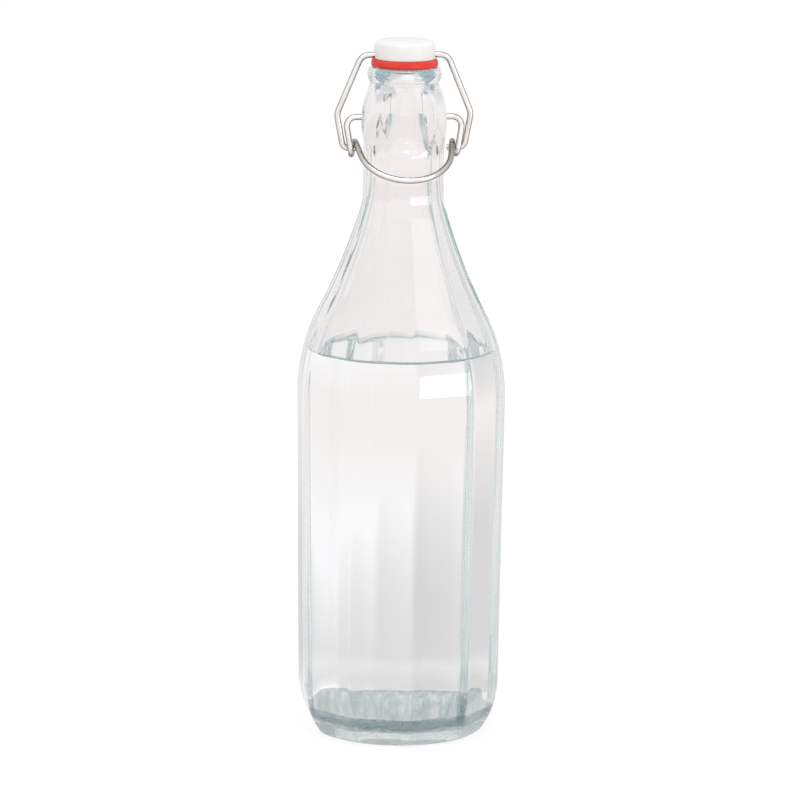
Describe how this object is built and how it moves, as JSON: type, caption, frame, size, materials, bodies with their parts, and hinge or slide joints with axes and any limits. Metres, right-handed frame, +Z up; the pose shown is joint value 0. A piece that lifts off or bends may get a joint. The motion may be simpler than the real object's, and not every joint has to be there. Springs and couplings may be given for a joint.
{
  "type": "swing-top bottle",
  "caption": "Tall faceted clear glass bottle with a sloping shoulder, thick lipped neck and a wire swing-top closure that clamps a domed stopper and rubber gasket on the mouth.",
  "frame": {"origin": "centre of the foot ring, on the plane that the bottle stands on", "axes": "+Z up along the bottle's axis, X through the two lever pivots, -Y to the front, where the lever's grip hangs"},
  "size_m": [0.0896, 0.0942, 0.3101],
  "materials": {
    "glass": "clear, smooth, faint blue-green in thick edges",
    "wire": "bright drawn stainless spring wire",
    "stopper": "white, glossy",
    "gasket": "red silicone, slightly satin"
  },
  "bodies": {
    "bottle": {"bottle": "glass"},
    "lever": {"lever_wire": "wire"},
    "bail": {"bail_wire": "wire"},
    "stopper": {"stopper": "stopper", "gasket": "gasket"}
  },
  "joints": [
    {"name": "lever_pivot", "type": "hinge", "parent": "bottle", "child": "lever", "pos_m": [0, 0, 0.27604], "axis": [-1, 0, 0], "range_deg": [0, 270]},
    {"name": "bail_swing", "type": "hinge", "parent": "lever", "child": "bail", "pos_m": [0, 0.0008, 0.26226], "axis": [-1, 0, 0], "range_deg": [-181, 0]},
    {"name": "stopper_tilt", "type": "hinge", "parent": "bail", "child": "stopper", "pos_m": [0, 0, 0.30349], "axis": [-1, 0, 0], "range_deg": [-90, 0]}
  ],
  "couplings": [
    {"joint": "bail_swing", "follows": "lever_pivot", "ratio": -0.67},
    {"joint": "stopper_tilt", "follows": "lever_pivot", "ratio": -0.33}
  ]
}
